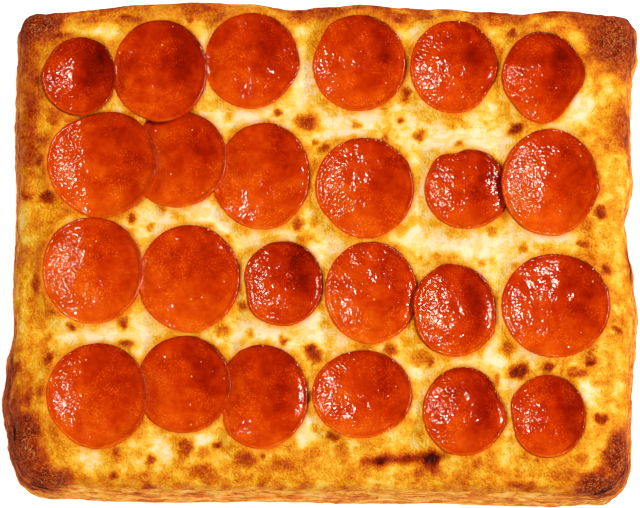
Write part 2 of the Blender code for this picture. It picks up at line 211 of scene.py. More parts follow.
# Noise in the wall: patches of browning, its lumps, and the wavy line where the cheese ends
WALL_PATCHES = ((12.0, 0.08, 31), (4.0, 0.06, 32))
WALL_LUMPS = ((9.0, 0.45, 22), (3.6, 0.28, 23), (1.8, 0.16, 24))
CHEESE_LINE = ((6.0, 2.6, 26), (2.0, 0.8, 27))

# Noise in a slice: its outline, as a share of the radius, its lip and the pebbles on it
SLICE_OUTLINE = ((6.0, 0.010, 41), (2.2, 0.006, 42))
LIP_UNEVENNESS = ((9.0, 0.6, 45), (2.4, 0.5, 49))
SLICE_PEBBLES = ((10.0, 0.26, 50), (5.0, 0.34, 43), (2.0, 0.09, 44), (1.1, 0.03, 48))

# How the edges of spots and of wrinkled corners wander, as (size, reach, seeds for X and Y)
SPOT_WANDER = ((4.2, 1.3, 8, 9), (1.9, 0.5, 17, 18))
WRINKLE_WANDER = ((7.0, 3.0, 19, 20),)

# How far beside a slice the cheese is drawn up to it, and how high at most, and how far it stays
# below the slice as it is drawn up and at the last
SEAT_REACH = 12.0
SEAT_RISE = 3.0
SEAT_CLEARANCE = 0.12
LEAST_CLEARANCE = 0.10

# How far the golden halo beside a slice and the red oil reach, how much paler a pool is, how brown
# a blister's halo, a burnt place and a wrinkled corner are, and how dark the painted shade in the
# furrow is
SLICE_HALO = 2.6
STAIN_REACH = 1.1
POOL_PALENESS = 0.30
HALO_BROWN = 0.48
BURNT_BROWN = 0.74
WRINKLED_BROWN = 0.78
FURROW_SHADE = 0.42

# How brown the rim is, along each side
RIM_LEFT = ((-92, 0.70), (-60, 0.60), (-25, 0.46), (8, 0.38), (27, 0.42), (36, 0.52), (70, 0.54), (88, 0.56))
RIM_RIGHT = ((-92, 0.56), (-62, 0.42), (-20, 0.43), (20, 0.34), (45, 0.43), (70, 0.50), (90, 0.70))
RIM_FRONT = ((-110, 0.74), (-85, 0.48), (-40, 0.51), (10, 0.50), (60, 0.53), (95, 0.54), (112, 0.74))
RIM_BACK = ((-118, 0.74), (-85, 0.54), (-45, 0.48), (5, 0.62), (45, 0.58), (80, 0.74), (105, 0.80))

# Blisters in the cheese, and painted shadows beside some slices: place, half width and half length, and how
# brown they are
BLISTER_AND_SHADOW_SPOTS = (
    (-78, 91, 2.0, 1.2, 0.80), (-53, 90, 1.4, 1.4, 0.76), (-37, 51, 1.2, 1.2, 0.45),
    (-18, 53, 1.4, 1.4, 0.76), (-6, 49, 3.4, 3.4, 0.84), (13, 48, 1.2, 1.2, 0.55),
    (24, 54, 1.0, 1.0, 0.50), (29, 90, 1.6, 1.6, 0.86), (40, 91, 3.2, 0.9, 0.72),
    (32, 60, 2.0, 2.8, 0.76), (31, 50, 1.2, 1.2, 0.86), (38, 44, 1.8, 1.8, 0.76),
    (24, 42, 1.6, 1.6, 0.76), (1, 38, 2.0, 2.0, 0.80), (-3, 41, 1.2, 1.2, 0.66),
    (51, 48, 1.2, 1.2, 0.55), (53, 40, 1.0, 1.0, 0.62), (76, 46, 2.8, 2.4, 0.93),
    # (-104, 83), (-111, 65) and, below, (-109, 61) are painted shadows beside slice 1, and (-107, 18) one
    # beside slice 7
    (74, 84, 2.0, 1.2, 0.80), (-104, 83, 4.3, 1.0, 0.80), (-111, 65, 1.2, 2.0, 0.93),
    (-109, 61, 1.6, 1.6, 0.96), (-106, 50, 2.4, 2.4, 0.70), (-110, 33, 1.6, 1.6, 0.86),
    (-107, 18, 2.8, 2.4, 0.94), (-116, 19, 2.4, 2.0, 0.70), (-74, 10, 1.6, 1.6, 0.76),
    (-67, 7, 1.2, 1.2, 0.50), (-62, 15, 1.6, 1.6, 0.70), (-36, 3, 0.8, 0.8, 0.62),
    (-10, 8, 2.0, 2.0, 0.76), (-8, 1, 1.6, 1.6, 0.62), (66, 5, 1.4, 1.4, 0.55),
    (62, -8, 1.2, 1.2, 0.50), (75, -9, 1.0, 1.0, 0.50), (78, -2, 1.4, 1.4, 0.55),
    (45, -6, 1.6, 1.6, 0.50), (38, -5, 0.8, 0.8, 0.62), (108, 12, 2.2, 2.2, 0.90),
    (103, 8, 2.4, 2.4, 0.66), (101, 0, 1.8, 1.8, 0.80), (110, -10, 2.4, 2.4, 0.84),
    # (-111, -16) is a painted shadow beside slice 13, and (-113, -60) below is one beside slice 19
    (114, -34, 1.6, 1.6, 0.86), (-111, -16, 2.0, 4.8, 0.74), (-97, -33, 1.4, 1.4, 0.80),
    (-77, -31, 2.0, 2.0, 0.82), (-76, -40, 2.4, 1.6, 0.86), (-106, -37, 1.2, 1.2, 0.50),
    (-109, -31, 1.6, 1.6, 0.50), (-106, -46, 2.0, 2.0, 0.88), (-113, -60, 1.6, 4.8, 0.72),
    (-80, -82, 1.8, 1.8, 0.80), (-53, -80, 2.8, 2.8, 0.78), (-66, -85, 1.6, 1.6, 0.76),
    (-41, -79, 1.6, 1.2, 0.86), (-80, -91, 1.4, 1.4, 0.80), (-67, -96, 2.8, 1.6, 0.80),
    (-46, -90, 5.1, 3.2, 0.66), (-30, -85, 4.3, 2.8, 0.74), (-23, -84, 1.2, 1.6, 0.90),
    (-15, -87, 5.5, 3.2, 0.62), (-3, -82, 2.4, 2.4, 0.50), (-39, -34, 2.4, 2.8, 0.62),
    (-15, -38, 1.4, 1.4, 0.76), (-5, -41, 2.0, 2.0, 0.88), (-3, -44, 2.4, 2.4, 0.86),
    # (-30, -25) is a painted shadow beside slice 15
    (-28, -35, 1.2, 1.2, 0.45), (-30, -25, 2.4, 2.0, 0.74), (26, -42, 2.2, 2.2, 0.80),
    (38, -45, 3.6, 2.4, 0.58), (42, -47, 1.2, 2.0, 0.74), (4, -76, 2.0, 1.6, 0.84),
    (7, -82, 2.4, 3.6, 0.60), (76, -50, 3.6, 2.8, 0.95), (87, -49, 2.4, 2.0, 0.90),
    (98, -51, 3.6, 2.0, 0.72), (104, -47, 2.0, 2.0, 0.92), (72, -40, 2.4, 2.8, 0.68),
    (67, -54, 1.2, 2.4, 0.64), (107, -69, 2.2, 2.2, 0.90), (77, -95, 5.1, 1.8, 0.78),
    (82, -85, 1.2, 1.2, 0.74), (59, -87, 2.0, 2.0, 0.64), (42, -86, 2.4, 3.2, 0.88),
    (99, -85, 2.8, 2.8, 0.60),
)

# Pools of cheese that stayed pale: place, half width and half length
PALE_POOLS = (
    (-87, 85, 4.0, 2.8), (-66, 92, 7.1, 2.0), (-50, 81, 3.2, 8.9), (-9, 70, 2.4, 11.3),
    (-6, 87, 3.2, 2.0), (38, 85, 3.2, 3.2), (57, 92, 4.7, 1.6), (-29, 51, 7.9, 2.4),
    (7, 47, 8.7, 3.6), (17, 51, 4.7, 2.8), (44, 42, 8.7, 3.6), (61, 43, 6.3, 3.6),
    (91, 89, 8.7, 1.6), (100, 54, 5.5, 5.2), (-64, 13, 4.7, 3.2), (-45, 12, 4.0, 3.2),
    (-38, 7, 2.8, 2.0), (-28, 1, 3.2, 2.4), (-3, -4, 2.4, 4.0), (36, 4, 2.4, 3.2),
    (49, 0, 7.1, 3.2), (63, -1, 7.9, 3.2), (85, 3, 8.7, 2.0), (61, -18, 3.6, 7.3),
    (-102, -35, 4.7, 4.0), (-88, -37, 9.5, 3.6), (-72, -36, 4.7, 3.2), (-28, -34, 7.1, 2.8),
    (-19, -37, 5.5, 2.8), (-5, -34, 4.0, 5.6), (38, -51, 3.6, 2.4), (-8, -73, 2.4, 5.6),
    (-5, -77, 2.8, 2.4), (-89, -80, 4.7, 5.6), (-93, -87, 7.1, 3.2), (-74, -88, 4.7, 3.2),
    (-62, -82, 3.6, 4.8), (-47, -77, 4.7, 2.0), (73, -83, 4.7, 3.2), (86, -42, 10.3, 2.0),
    (67, -44, 3.2, 3.2), (101, -59, 3.2, 4.0),
)

# Burnt places of the rim: place, half width and half length
BURNS = (
    (-116, 90, 4.5, 5.5), (-116, 74, 2.0, 4.8), (114, 90, 8.7, 4.8), (119, 79, 3.2, 6.5),
    (117, 46, 3.6, 6.5), (120, -7, 1.6, 4.8), (-113, -85, 4.7, 8.9), (-109, -94, 4.0, 3.2),
    (117.5, -90, 3.0, 9.0), (108, -97, 7.1, 2.4), (-84, 96, 7.1, 1.6), (-52, 96, 6.3, 2.4),
    (1, 93, 4.3, 2.0), (71, 93, 5.5, 1.2), (-115, 38, 2.4, 8.1), (-114.0, 58, 2.4, 14),
)

# Wrinkled and burnt parts of the rim, at the corners: place, half width and half length
WRINKLED = (
    (117, 86, 12, 14), (-116, 91, 9, 9), (-120, -82, 6.5, 17), (-111, -96, 9, 5),
    (120.5, -85, 6, 11), (112, -97, 10, 5),
)


def smooth_step(share):
    """0 below 0, 1 above 1, and an even S between."""
    share = np.clip(share, 0.0, 1.0)
    return share * share * (3.0 - 2.0 * share)


def noise(points, size, seed):
    """Smooth noise in space, mostly from -1 to 1, with lumps of this size.

    Space is cut into cubes. Each corner has a random slope, and a point's value is the sum over
    its cube's corners of slope times offset, weighted by an S that is 1 at the corner.
    """
    rng = np.random.default_rng(seed)
    slopes = rng.normal(size=(256, 3))
    slopes /= np.linalg.norm(slopes, axis=1, keepdims=True)
    order = rng.permutation(256)
    scaled = points / size
    cube = np.floor(scaled).astype(int)
    local = scaled - cube
    near = local**3 * (local * (local * 6.0 - 15.0) + 10.0)
    total = np.zeros(points.shape[:-1])
    for corner in np.ndindex(2, 2, 2):
        at = cube + corner
        pick = order[(order[(order[at[..., 0] % 256] + at[..., 1]) % 256] + at[..., 2]) % 256]
        weight = np.where(corner, near, 1.0 - near).prod(axis=-1)
        total += weight * ((local - corner) * slopes[pick]).sum(axis=-1)
    return total * 1.7


def lumps(points, layers):
    """The sum of noises over these points, each layer given as (size, height, seed)."""
    return sum(height * noise(points, size, seed) for size, height, seed in layers)


def wandered(points, layers):
    """Plan points moved about by noise, each layer given as (size, reach, seeds for X and Y)."""
    space = with_height(points, 0.0)
    for size, reach, *seeds in layers:
        points = points + reach * np.stack([noise(space, size, seed) for seed in seeds], axis=-1)
    return points


def along(knots, place, column):
    """A side's value at each place: an even S from each of its knots to the next."""
    places = np.array([knot[0] for knot in knots], float)
    values = np.array([knot[column] for knot in knots], float)
    after = np.clip(np.searchsorted(places, place), 1, len(places) - 1)
    share = smooth_step((place - places[after - 1]) / (places[after] - places[after - 1]))
    return values[after - 1] + (values[after] - values[after - 1]) * share


def corner_radii(points):
    """The wall's corner radius in each point's quarter of the crust."""
    right, back = points[..., 0] > 0, points[..., 1] > 0
    upper = np.where(right, CORNER_RADIUS[1, 1], CORNER_RADIUS[-1, 1])
    lower = np.where(right, CORNER_RADIUS[1, -1], CORNER_RADIUS[-1, -1])
    return np.where(back, upper, lower)


def rounded(points, outer, inset=0.0):
    """Points of a rectangle set in by outer from the box, moved onto rounded corners.

    A point past the straight stretches keeps its reach from the corner's middle, and is turned
    onto an arc there. It can be set in further by inset, where tight corners keep INNER_RADIUS.
    """
    radius = corner_radii(points)[..., None]
    start = np.maximum(radius - outer, INNER_RADIUS)
    end = np.maximum(radius - outer - inset, INNER_RADIUS)
    core = HALF - outer - start
    middle = np.clip(points, -core, core)
    past = points - middle
    reach = np.abs(past).max(axis=-1, keepdims=True)
    length = np.maximum(np.linalg.norm(past, axis=-1, keepdims=True), 1e-9)
    moved_core = (HALF - outer - inset - end) / core
    return np.where(reach > 0, middle * moved_core + past / length * (reach - start + end), middle)


def depth_inside(points):
    """How far each point lies inside the wall's plain rounded rectangle."""
    radius = corner_radii(points)
    past = np.abs(points) - (HALF - radius[..., None])
    outside = np.linalg.norm(np.maximum(past, 0.0), axis=-1)
    return radius - outside - np.minimum(past.max(axis=-1), 0.0)


def wobbled(points, bulge_share=1.0):
    """Points of the plain rectangle moved onto the uneven one.

    Each side is set in by its own shortfall. bulge_share is 0 where the wall stands out most and
    1 from its shoulder inwards, where the side's own bulge counts too. All of it fades inwards.
    """
    x, y = points[..., 0], points[..., 1]
    moved = np.array(points, float)
    for axis, low, high, place in ((0, LEFT, RIGHT, y), (1, FRONT, BACK, x)):
        across = points[..., axis]
        from_side = HALF[axis] - np.abs(across)
        weight = smooth_step((WOBBLE_GONE - from_side) / (WOBBLE_GONE - WOBBLE_FULL))
        for side, knots in ((-1, low), (1, high)):
            bulge = along(knots, place, 2) - MEAN_BULGE
            shift = (along(knots, place, 1) + bulge_share * bulge) * weight
            moved[..., axis] -= np.where(np.sign(across) == side, side * shift, 0.0)
    return moved


def plain(points):
    """The plain rectangle's points that wobbled() moves to these."""
    found = np.array(points, float)
    for _ in range(3):
        found = points - (wobbled(found) - found)
    return found


def puff(points):
    """How far the puffed corners lift the rim: a soft round hill at each."""
    lift = np.zeros(points.shape[:-1])
    for x, y, height, reach in PUFFS:
        away = np.hypot(points[..., 0] - x, points[..., 1] - y)
        lift += height * np.exp(-((away / reach) ** 2))
    return lift


def furrow(points):
    """The furrow's depth: full on its line, gone at its half width and past its ends."""
    (x0, y0), (x1, y1) = FURROW
    share = (points[..., 0] - x0) / (x1 - x0)
    across = (points[..., 1] - y0 - share * (y1 - y0)) / FURROW_HALF_WIDTH
    ends = smooth_step(share * 5.0 + 0.5) * smooth_step((1.0 - share) * 5.0 + 0.5)
    return FURROW_DEPTH * ends * np.exp(-across * across)


def cheese_height(points, furrowed=True):
    """The cheese's even upper side over the plain rectangle: its level, its swells and its rim,
    whose foot wanders in and out."""
    x, y = points[..., 0], points[..., 1]
    foot = RIM_FOOT + RIM_WANDER * noise(with_height(points, 0.0), 13.0, 51)
    rim = smooth_step((foot - depth_inside(points)) / (foot - RIM_CREST))
    height = CHEESE_LEVEL + (RIM_RISE + puff(points)) * rim
    for size, across, up, start in SWELLS:
        height = height + size * np.sin(across * x + up * y + start)
    return height - furrow(points) if furrowed else height


def border(grid):
    """The outer points of a grid, once round from its first corner, counterclockwise."""
    return np.concatenate([grid[0, :-1], grid[:-1, -1], grid[-1, :0:-1], grid[:0:-1, 0]])


def cheese_plan():
    """Rows of evenly spaced points of a rectangle at the cheese's edge, not yet rounded."""
    edge = HALF - CHEESE_EDGE
    across = np.linspace(-edge[0], edge[0], CELLS_X + 1)
    up = np.linspace(-edge[1], edge[1], CELLS_Y + 1)
    return np.stack(np.meshgrid(across, up), axis=-1)


def border_loop(inset):
    """The plan's border carried out or in to an inset from the box, with rounded corners."""
    square = border(cheese_plan())
    if inset <= CHEESE_EDGE:
        return rounded(square * (HALF - inset) / (HALF - CHEESE_EDGE), inset)
    return rounded(square, CHEESE_EDGE, inset - CHEESE_EDGE)


def with_height(plan, height):
    """Points in space from plan points and heights."""
    height = np.broadcast_to(height, plan.shape[:-1])
    return np.concatenate([plan, height[..., None]], axis=-1)


def outline_radius(piece, angle):
    """A slice's radius in each direction: an ellipse with bell-shaped bumps and dents."""
    radius = 1.0 / np.hypot(np.cos(angle) / piece.rx, np.sin(angle) / piece.ry)
    share = np.ones_like(radius)
    for direction, half_width, size in piece.bumps:
        turn = np.degrees(angle) - direction
        turn = (turn + 180.0) % 360.0 - 180.0
        share += size * np.exp(-((turn / half_width) ** 2))
    return radius * share


def share_out(piece, points):
    """How far out on a slice each point lies: 0 at its middle, 1 on its edge."""
    x, y = points[..., 0] - piece.x, points[..., 1] - piece.y
    return np.hypot(x, y) / outline_radius(piece, np.arctan2(y, x))


def slice_points(piece, shares, sides):
    """Plan points on a slice, a ring for each share of its radius."""
    angle = np.arange(sides) * 2.0 * math.pi / sides
    radius = np.multiply.outer(np.array(shares), outline_radius(piece, angle))
    plan = np.stack([radius * np.cos(angle), radius * np.sin(angle)], axis=-1)
    return plan + np.array([piece.x, piece.y])


def curl_height(piece, points):
    """How far a slice curls up at each point: not at all where a later slice holds it down."""
    height = piece.curl * share_out(piece, points) ** CURL_POWER
    for other in SLICES[SLICES.index(piece) + 1:]:
        held_to, free_from = HELD_DOWN
        height = height * smooth_step((share_out(other, points) - held_to) / (free_from - held_to))
    return height


def lean_share(piece, towards, points):
    """How much a lean lifts each point: nothing at the far edge, all of it at the near one."""
    along_lean = (points[..., 0] - piece.x) * towards[0] + (points[..., 1] - piece.y) * towards[1]
    near = np.clip(0.5 + 0.5 * along_lean / max(piece.rx, piece.ry), 0.0, 1.2)
    return near**LEAN_POWER


def underside(piece, leans, points):
    """A slice's lower face: on the cheese, curled up at its edge, and lifted where it leans."""
    height = cheese_height(plain(points), furrowed=False) + SLICE_GAP
    height = height + curl_height(piece, points)
    for towards, lift in leans:
        height = height + lift * lean_share(piece, towards, points)
    return height


def settle(piece, lower):
    """The leans that lift a slice clear of the slices under it, given with their own leans."""
    leans = []
    for other, other_leans in lower:
        gap = np.array([other.x - piece.x, other.y - piece.y])
        apart = np.linalg.norm(gap)
        if apart > piece.rx + piece.ry + other.rx + other.ry:
            continue
        points = slice_points(piece, np.linspace(0.3, 1.0, 15), 132)
        points = points[share_out(other, points) < 1.0 + STACK_MARGIN / other.rx]
        if not len(points):
            continue
        needed = underside(other, other_leans, points) + SLICE_THICKNESS + STACK_GAP
        short = needed - underside(piece, leans, points)
        towards = gap / apart
        leans.append((towards, max(0.0, (short / lean_share(piece, towards, points)).max())))
    return leans


def spots(points, places, power=2.0, grow=1.0):
    """Soft spots at these places, as one array for each, 1 in the middle and fading past the edge."""
    for x, y, half_width, half_length, *rest in places:
        away = np.hypot(
            (points[..., 0] - x) / (half_width * grow), (points[..., 1] - y) / (half_length * grow)
        )
        yield np.exp(-(away**power)), rest


def beyond_edge(piece, points):
    """How far outside a slice's edge each point lies, about, and 0 on the slice."""
    return np.maximum(share_out(piece, points) - 1.0, 0.0) * piece.rx


def rim_browning(points):
    """The rim's own browning beside each point, and how much it counts there: all at the edge."""
    total, weights = np.zeros(points.shape[:-1]), np.full(points.shape[:-1], 1e-6)
    strongest = np.zeros(points.shape[:-1])
    sides = ((0, -1, RIM_LEFT), (0, 1, RIM_RIGHT), (1, -1, RIM_FRONT), (1, 1, RIM_BACK))
    for axis, side, knots in sides:
        inside = HALF[axis] - side * points[..., axis] + 1.2 * noise(with_height(points, axis), 8.0, 5)
        weight = smooth_step((RIM_END - inside) / 10.0)
        total += weight * along(knots, points[..., 1 - axis], 1)
        weights += weight
        strongest = np.maximum(strongest, weight)
    return total / weights, strongest


def browning_at(points, flat):
    """How brown the cheese is, from 0, cream, over 0.5, gold, to 1, burnt.

    It varies in patches, rises beside the slices and falls in the pale pools. At the rim it goes
    over to the rim's own. In each blister it is taken up to the blister's, with a golden halo; some
    of these spots are painted shadows at the left of slices. The wrinkled corners and the burnt
    places are dark, and painted shade darkens the far side of the furrow.
    """
    space = with_height(points, 0.0)
    depth = depth_inside(flat)
    patches = lumps(space, BROWN_PATCHES)
    browning = 0.22 + 0.16 * smooth_step((34.0 - depth) / 18.0) + patches
    browning += 0.08 * smooth_step((-60.0 - points[..., 0]) / 45.0)
    for piece in SLICES:
        beyond = beyond_edge(piece, points)
        browning += 0.09 * np.exp(-((beyond / SLICE_HALO) ** 2)) * (1.0 + 4.0 * patches)
    for spot, _ in spots(points, PALE_POOLS, 3.0, 1.25):
        browning -= POOL_PALENESS * spot
    browning = np.clip(browning, 0.04, 0.62)
    rim, share = rim_browning(points)
    streaks = rim_streaks(flat)
    browning = browning + (rim + patches + 0.10 * streaks - browning) * share
    browning = browning + (WRINKLED_BROWN - browning) * smooth_step(1.3 * wrinkling(flat))
    ragged = wandered(points, SPOT_WANDER)
    # Some of these spots are painted shadows at the left of slices, not blisters
    for spot, (brown,) in spots(ragged, BLISTER_AND_SHADOW_SPOTS, 3.4, 1.9):
        browning = np.maximum(browning, np.minimum(brown, HALO_BROWN) * spot)
    for spot, (brown,) in spots(ragged, BLISTER_AND_SHADOW_SPOTS, 3.6, 1.1):
        brown = 0.16 + 0.74 * brown
        browning = browning + (brown - browning) * spot * (brown > browning)
    for spot, _ in spots(ragged, BURNS, 2.0, 1.5):
        browning = browning + np.maximum(BURNT_BROWN - browning, 0.0) * spot
    # Painted shade along the furrow, darkest on its far side
    return browning + FURROW_SHADE * furrow(flat - np.array([0.0, 0.8])) / FURROW_DEPTH


def rim_streaks(flat):
    """Noise drawn out along the rim: short across it and long beside it."""
    across = depth_inside(flat)
    beside = flat[..., 0] + flat[..., 1]
    return noise(np.stack([across / 1.5, beside / 9.0, 0.0 * across], axis=-1), 1.0, 16)


def stain(points):
    """How much red oil from the slices colours the cheese: most against their edges."""
    near = np.zeros(points.shape[:-1])
    for piece in SLICES:
        near = np.maximum(near, np.exp(-((beyond_edge(piece, points) / STAIN_REACH) ** 2)))
    return near


def wrinkling(points):
    """How wrinkled and burnt the crust is: fully in its puffed corners, fading round them."""
    share = np.zeros(points.shape[:-1])
    for spot, _ in spots(wandered(points, WRINKLE_WANDER), WRINKLED, 2.4):
        share = np.maximum(share, spot)
    return share


def seat_height(points, settled):
    """How far the cheese is drawn up to the slices: to just under each, and round its edge in a
    soft slope, but never above the lowest slice that covers the point."""
    drawn = np.zeros(points.shape[:-1])
    limit = np.full(points.shape[:-1], 50.0)
    even = cheese_height(plain(points), furrowed=False)
    for piece, leans in settled:
        out = share_out(piece, points)
        near = out < 1.0 + SEAT_REACH / piece.rx
        there = points[near]
        out = out[near]
        centre = np.array([piece.x, piece.y])
        held = centre + (there - centre) / np.maximum(out, 1.0)[:, None]
        gap = underside(piece, leans, held) - cheese_height(plain(held), furrowed=False)
        away = np.maximum(out - 1.0, 0.0) * piece.rx
        beside = smooth_step((out - 0.95) * piece.rx / 0.7)
        drawn_here = np.minimum(gap - SEAT_CLEARANCE, SEAT_RISE)
        drawn_here *= np.exp(-((away / (2.4 + 1.2 * gap)) ** 2))
        drawn_here += CHEESE_LIP * beside * np.exp(-((away / 3.2) ** 2))
        drawn[near] = np.maximum(drawn[near], drawn_here)
        under = underside(piece, leans, there) - even[near] - LEAST_CLEARANCE + CHEESE_LIP * beside
        limit[near] = np.where(out < 1.0 + 0.15 / piece.rx, np.minimum(limit[near], under), limit[near])
    return np.minimum(drawn, limit), limit


def topping(points, flat, settled):
    """The height and the browning of the baked surface, the same for the cheese and the rim.

    On the even surface lie soft swells, finer lumps where it is brown, a bubble at each blister
    and wrinkles in the burnt corners. The cheese is drawn up to the slices.
    """
    space = with_height(points, 0.0)
    browning = browning_at(points, flat)
    rough = 0.25 + 1.4 * np.clip(browning, 0.0, 0.7)
    relief = lumps(space, BROAD_SWELLS) + rough * lumps(space, BAKED_LUMPS)
    for spot, (brown,) in spots(points, BLISTER_AND_SHADOW_SPOTS, 2.0, 1.5):
        relief += 0.8 * brown * spot
    relief += 0.30 * rim_browning(points)[1] * rim_streaks(flat)
    relief += wrinkling(flat) * (0.2 - 0.7 * np.abs(noise(space, 2.8, 15)))
    seat, limit = seat_height(points, settled)
    height = cheese_height(flat) + np.minimum(seat + relief * np.exp(-seat), limit)
    return height, browning


def srgb(red, green, blue):
    """A colour in light, from its 0 to 255 screen values."""
    value = np.array([red, green, blue]) / 255.0
    light = np.where(value <= 0.04045, value / 12.92, ((value + 0.055) / 1.055) ** 2.4)
    return (*light, 1.0)


def add_node(tree, kind, settings=None, **sockets):
    """A shader node with its settings, and each named socket set to a value or joined to a socket."""
    node = tree.nodes.new(kind)
    for name, value in (settings or {}).items():
        setattr(node, name, value)
    for name, value in sockets.items():
        socket = node.inputs[int(name[1:]) if name[1:].isdigit() else name.replace("_", " ")]
        if isinstance(value, bpy.types.NodeSocket):
            tree.links.new(value, socket)
        else:
            socket.default_value = value
    return node


def calculate(tree, operation, *values):
    """The output of a Math node on these values or sockets."""
    sockets = {f"i{index}": value for index, value in enumerate(values)}
    return add_node(tree, "ShaderNodeMath", {"operation": operation}, **sockets).outputs[0]


def blend_colours(tree, share, first, second):
    """The output of a Mix node that goes from the first colour to the second."""
    sockets = {"i0": share, "i6": first, "i7": second}
    return add_node(tree, "ShaderNodeMix", {"data_type": "RGBA"}, **sockets).outputs[2]


def ramp(tree, value, stops):
    """The colour output of a ramp through these (place, colour) stops."""
    node = add_node(tree, "ShaderNodeValToRGB", Fac=value)
    elements = node.color_ramp.elements
    for index, (position, colour) in enumerate(stops):
        element = elements[index] if index < 2 else elements.new(position)
        element.position = position
        element.color = colour
    return node.outputs[0]


def remap(tree, value, low, high, to_low=0.0, to_high=1.0):
    """The value's stretch from low to high laid over another one, and held at its ends."""
    sockets = {"Value": value, "i1": low, "i2": high, "i3": to_low, "i4": to_high}
    return add_node(tree, "ShaderNodeMapRange", **sockets).outputs[0]


def attribute(tree, name):
    """The value of one of the mesh's own attributes."""
    return add_node(tree, "ShaderNodeAttribute", {"attribute_name": name}).outputs["Fac"]


def speckle(tree, where, size, detail=2.0, roughness=0.5):
    """Noise from 0 to 1 with lumps of this size in millimetres."""
    return add_node(
        tree, "ShaderNodeTexNoise", Vector=where, Scale=1.0 / (size * MM), Detail=detail, Roughness=roughness
    ).outputs[0]


def new_group(name, inputs, outputs):
    """A shader node group with these named sockets: its tree, its inputs and its output node."""
    tree = bpy.data.node_groups.new(name, "ShaderNodeTree")
    for label, kind, value in inputs:
        socket = tree.interface.new_socket(label, in_out="INPUT", socket_type=kind)
        socket.default_value = value
    for label, kind in outputs:
        tree.interface.new_socket(label, in_out="OUTPUT", socket_type=kind)
    start = tree.nodes.new("NodeGroupInput").outputs
    return tree, start, tree.nodes.new("NodeGroupOutput")


def mottling_group():
    """Browning made uneven: patches, flecks and grain are added to an even value, and so are
    islands with clear edges, which show where the cheese is pale."""
    tree, given, out = new_group(
        "Mottling",
        (("Browning", "NodeSocketFloat", 0.3), ("Strength", "NodeSocketFloat", 1.0)),
        (("Browning", "NodeSocketFloat"),),
    )
    where = add_node(tree, "ShaderNodeTexCoord").outputs["Object"]
    total = given["Browning"]
    for size, detail, amount in MOTTLES:
        centred = calculate(tree, "SUBTRACT", speckle(tree, where, size, detail), 0.5)
        scaled = calculate(tree, "MULTIPLY", centred, amount)
        total = calculate(tree, "MULTIPLY_ADD", scaled, given["Strength"], total)
    islands = remap(tree, speckle(tree, where, ISLAND_SIZE, 3.0, 0.55), 0.49, 0.53, -0.05, 0.10)
    pale = remap(tree, given["Browning"], 0.3, 0.5, 1.0, 0.25)
    total = calculate(tree, "MULTIPLY_ADD", islands, pale, total)
    tree.links.new(total, out.inputs["Browning"])
    return tree


def grain_group():
    """Fine relief: rounded pebbles of a given size in millimetres with smaller ones on them."""
    tree, given, out = new_group(
        "Grain",
        (("Size", "NodeSocketFloat", 1.0), ("Fineness", "NodeSocketFloat", 0.4)),
        (("Height", "NodeSocketFloat"),),
    )
    where = add_node(tree, "ShaderNodeTexCoord").outputs["Object"]
    scale = calculate(tree, "DIVIDE", 1.0 / MM, given["Size"])
    coarse = add_node(tree, "ShaderNodeTexNoise", Vector=where, Scale=scale, Detail=0.0).outputs[0]
    fine_scale = calculate(tree, "MULTIPLY", scale, 1.9)
    fine = add_node(tree, "ShaderNodeTexNoise", Vector=where, Scale=fine_scale, Detail=0.0).outputs[0]
    height = calculate(tree, "MULTIPLY_ADD", fine, given["Fineness"], coarse)
    tree.links.new(height, out.inputs["Height"])
    return tree


def use_group(tree, group, **sockets):
    """A group's outputs, with its named inputs given."""
    return add_node(tree, "ShaderNodeGroup", {"node_tree": group}, **sockets).outputs


# The baked cheese: the size of its finest lumps, of the islands in its pale parts and of its patches
# of oil, its patches, flecks and grain as (size, detail, amount), how fine and how deep the burnt
# wrinkles are, how rough it is where it is dry and under oil, and how strongly it shines
CHEESE_GRAIN = 1.0
ISLAND_SIZE = 4.0
OIL_PATCH_SIZE = 4.5
MOTTLES = ((5.0, 2.0, 0.20), (1.9, 1.0, 0.20), (0.7, 0.0, 0.18))
FOLD_SIZE = 1.45
FOLD_DEPTH = 0.30
DRY_ROUGHNESS = 0.7
OIL_ROUGHNESS = 0.13
BAKED_SHINE = 0.14

# The wall's streaks: their thickness, the scale of their noise along X, Y and Z, which draws them
# out lengthwise, how much they change the browning, and how deep they are
STREAK_SIZE = 1.9
STREAK_SCALE = (0.22, 0.22, 1.0)
STREAK_CONTRAST = 1.1
STREAK_DEPTH = 1.4

# The sausage: the size of its pebbles and the share of smaller ones on them, then how deep they are
# and how rough it is, each where it is dry and under oil
PEBBLE_SIZE = 1.1
PEBBLE_FINENESS = 0.3
PEBBLE_DEPTH = (0.18, 0.40)
MEAT_ROUGHNESS = (0.13, 0.07)

# Its painted glints: the size of their small light orange dots and of the groups they come in. Its
# blotches as (size, amount), its patches of oil, and its flecks of fat: how far apart they lie, how
# large they are for that, and how few of them show
GLINT_DOT_SIZE = 0.55
GLINT_GROUP_SIZE = 7.5
BLOTCHES = ((7.0, 0.45), (2.2, 0.24))
MEAT_OIL_SIZE = 6.5
FAT_SPACING = 4.2
FAT_SIZE = 0.085
FAT_RARITY = 0.72

# The colours by how brown or dark the food is, the painted highlight on the wrinkles' lines, and
# the colours of the red oil and the fat
CHEESE_COLOURS = (
    (0.00, srgb(255, 231, 192)),
    (0.14, srgb(254, 218, 144)),
    (0.28, srgb(251, 203, 74)),
    (0.40, srgb(247, 177, 32)),
    (0.52, srgb(234, 142, 14)),
    (0.64, srgb(210, 98, 6)),
    (0.76, srgb(176, 56, 3)),
    (0.88, srgb(128, 28, 2)),
    (1.00, srgb(76, 12, 2)),
)

